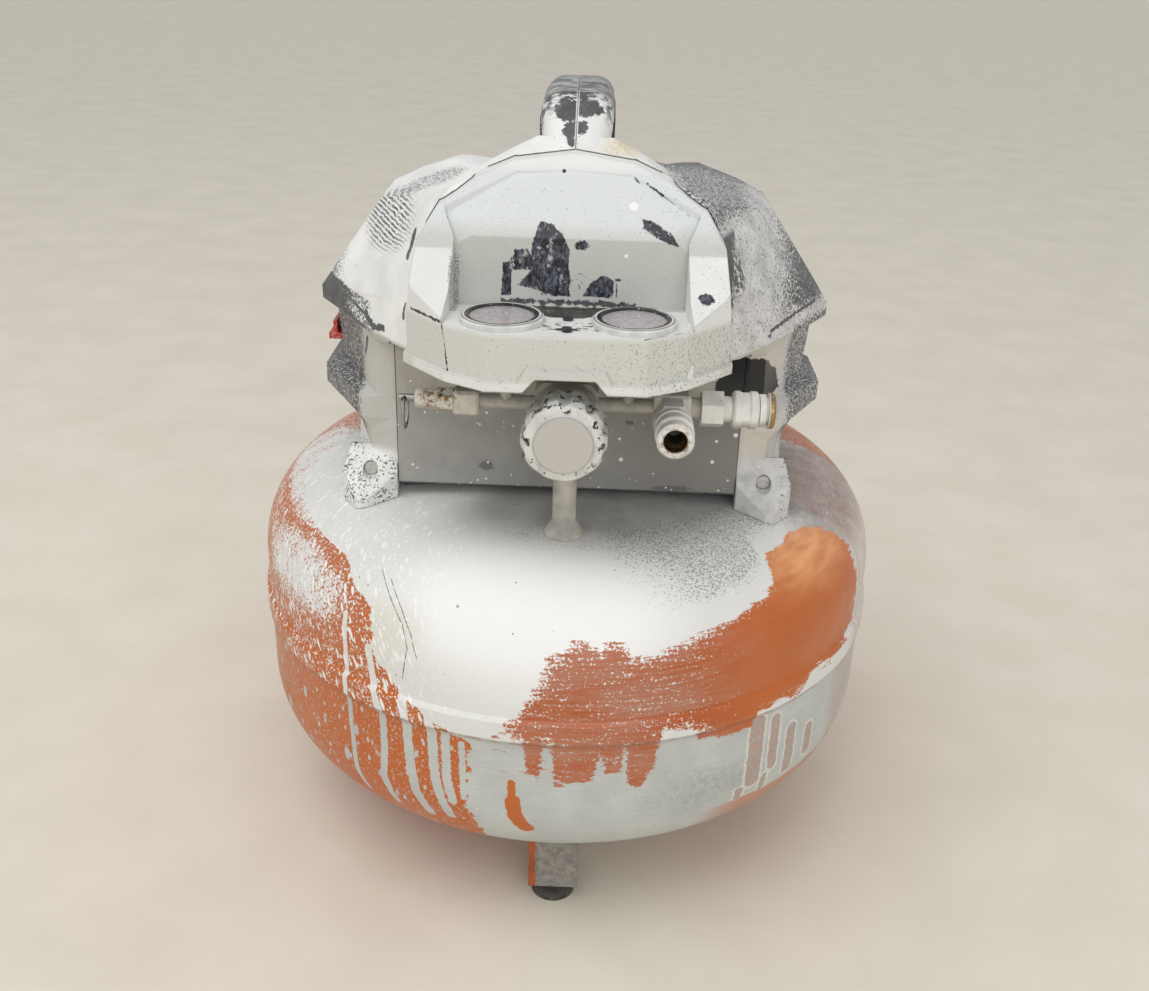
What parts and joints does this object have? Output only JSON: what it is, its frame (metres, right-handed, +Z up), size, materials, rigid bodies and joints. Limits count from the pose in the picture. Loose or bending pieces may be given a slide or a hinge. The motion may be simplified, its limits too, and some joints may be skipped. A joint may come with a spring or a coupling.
{
  "type": "portable air compressor",
  "caption": "Portable pancake air compressor: flat round air tank on legs with rubber feet, faceted plastic shroud with carry handle, gauges, regulator knob and quick couplers.",
  "frame": {"origin": "on the floor under the tank's axis", "axes": "+Z up, front with the gauges and regulator at -Y, +X to the right seen from the front"},
  "size_m": [0.4044, 0.4044, 0.476],
  "materials": {
    "orange_paint": "gloss paint under white overspray",
    "leg_paint": "worn paint with overspray",
    "steel": "bare steel",
    "zinc_plate": "plated sheet steel",
    "black_rubber": "moulded rubber",
    "shroud_plastic": "charcoal plastic under white overspray",
    "console_plastic": "charcoal plastic under thick overspray",
    "grip_plastic": "textured soft plastic",
    "knob_plastic": "black plastic under white overspray",
    "red_plastic": "moulded plastic",
    "black_plastic": "moulded plastic",
    "brass": "brass under overspray",
    "cast_aluminium": "die cast",
    "cast_iron": "machined casting",
    "dial_card": "printed dial",
    "clear_lens": "clear window",
    "needle_black": "thin pointer",
    "copper_winding": "lacquered winding and laminations"
  },
  "bodies": {
    "tank": {"tank_upper_half": "orange_paint", "tank_lower_half": "orange_paint", "tank_legs": "leg_paint", "rubber_feet": "black_rubber", "foot_screws": "steel", "drain_valve_body": "brass", "outlet_stub_pipe": "orange_paint", "regulator_body": "cast_aluminium", "regulator_bonnet": "knob_plastic", "regulator_diaphragm": "black_rubber", "regulator_spring": "steel", "air_line_blocks": "brass", "air_line_nipples": "brass", "safety_valve_body": "brass", "side_coupler_body": "brass", "front_coupler_body": "brass", "gauge_cases": "black_plastic", "gauge_dials": "dial_card", "gauge_lenses": "clear_lens", "gauge_tubes": "brass", "console": "console_plastic", "left_shroud": "shroud_plastic", "right_shroud": "shroud_plastic", "handle_grips": "grip_plastic", "front_skirt": "shroud_plastic", "rear_cover": "shroud_plastic", "cord_gland": "black_rubber", "shroud_screws": "steel", "saddle_bracket": "zinc_plate", "rubber_mounts": "black_rubber", "pump_frame": "cast_aluminium", "motor_stator": "copper_winding", "motor_end_bell": "cast_aluminium", "bearings": "steel", "drive_belt": "black_rubber", "cylinder_sleeve": "cast_aluminium", "valve_plate": "steel", "cylinder_head": "cast_aluminium", "head_screws": "steel", "intake_filter": "black_plastic", "delivery_tube": "cast_aluminium", "check_valve_body": "brass", "pressure_switch": "black_plastic"},
    "drain_tap": {"drain_knob": "brass"},
    "regulator_knob": {"regulator_knob": "knob_plastic", "regulator_screw": "steel"},
    "safety_stem": {"safety_valve_stem": "brass"},
    "pull_ring": {"safety_pull_ring": "steel"},
    "side_sleeve": {"side_coupler_sleeve": "brass"},
    "front_sleeve": {"front_coupler_sleeve": "brass"},
    "outlet_needle": {"outlet_gauge_needle": "needle_black"},
    "tank_needle": {"tank_gauge_needle": "needle_black"},
    "switch_lever": {"switch_lever": "red_plastic"},
    "rotor": {"motor_rotor": "steel", "motor_fan": "black_plastic"},
    "crank": {"crankshaft": "steel", "crank_wheel": "cast_iron"},
    "piston": {"connecting_rod": "cast_aluminium", "piston": "cast_aluminium"},
    "poppet": {"check_valve_poppet": "black_rubber"}
  },
  "joints": [
    {"name": "regulator_turn", "type": "hinge", "parent": "tank", "child": "regulator_knob", "pos_m": [0, -0.1745, 0.3185], "axis": [0, -1, 0], "range_deg": [0, 1080]},
    {"name": "safety_stem_pull", "type": "slide", "parent": "tank", "child": "safety_stem", "axis": [-1, 0, 0], "range_m": [0, 0.003], "stiffness_N_per_m": 4000},
    {"name": "pull_ring_swing", "type": "hinge", "parent": "safety_stem", "child": "pull_ring", "pos_m": [-0.089, -0.126, 0.3185], "axis": [0, 1, 0], "range_deg": [-40, 90]},
    {"name": "side_sleeve_slide", "type": "slide", "parent": "tank", "child": "side_sleeve", "axis": [-1, 0, 0], "range_m": [0, 0.004], "stiffness_N_per_m": 1500},
    {"name": "front_sleeve_slide", "type": "slide", "parent": "tank", "child": "front_sleeve", "axis": [0, 1, 0], "range_m": [0, 0.004], "stiffness_N_per_m": 1500},
    {"name": "outlet_needle_turn", "type": "hinge", "parent": "tank", "child": "outlet_needle", "pos_m": [-0.0333, -0.16, 0.372], "axis": [0, 0, -1], "range_deg": [0, 270], "stiffness_Nm_per_rad": 0.00002},
    {"name": "tank_needle_turn", "type": "hinge", "parent": "tank", "child": "tank_needle", "pos_m": [0.0333, -0.16, 0.372], "axis": [0, 0, -1], "range_deg": [0, 270], "stiffness_Nm_per_rad": 0.00002},
    {"name": "switch_flip", "type": "hinge", "parent": "tank", "child": "switch_lever", "pos_m": [-0.1355, -0.008, 0.318], "axis": [0, 1, 0], "range_deg": [0, 24]},
    {"name": "drain_turn", "type": "hinge", "parent": "tank", "child": "drain_tap", "pos_m": [0, 0, 0.02], "axis": [0, 0, -1], "range_deg": [0, 360]},
    {"name": "crank_spin", "type": "hinge", "parent": "tank", "child": "crank", "pos_m": [0.05, 0.033, 0.304], "axis": [0, 1, 0], "continuous": true},
    {"name": "rotor_spin", "type": "hinge", "parent": "tank", "child": "rotor", "pos_m": [-0.055, 0, 0.31], "axis": [0, 1, 0], "continuous": true},
    {"name": "piston_slide", "type": "slide", "parent": "tank", "child": "piston", "axis": [0, 0, 1], "range_m": [0, 0.024]},
    {"name": "poppet_lift", "type": "slide", "parent": "tank", "child": "poppet", "axis": [0, 0, 1], "range_m": [0, 0.002], "stiffness_N_per_m": 200}
  ],
  "couplings": [
    {"joint": "rotor_spin", "follows": "crank_spin", "ratio": 3}
  ]
}
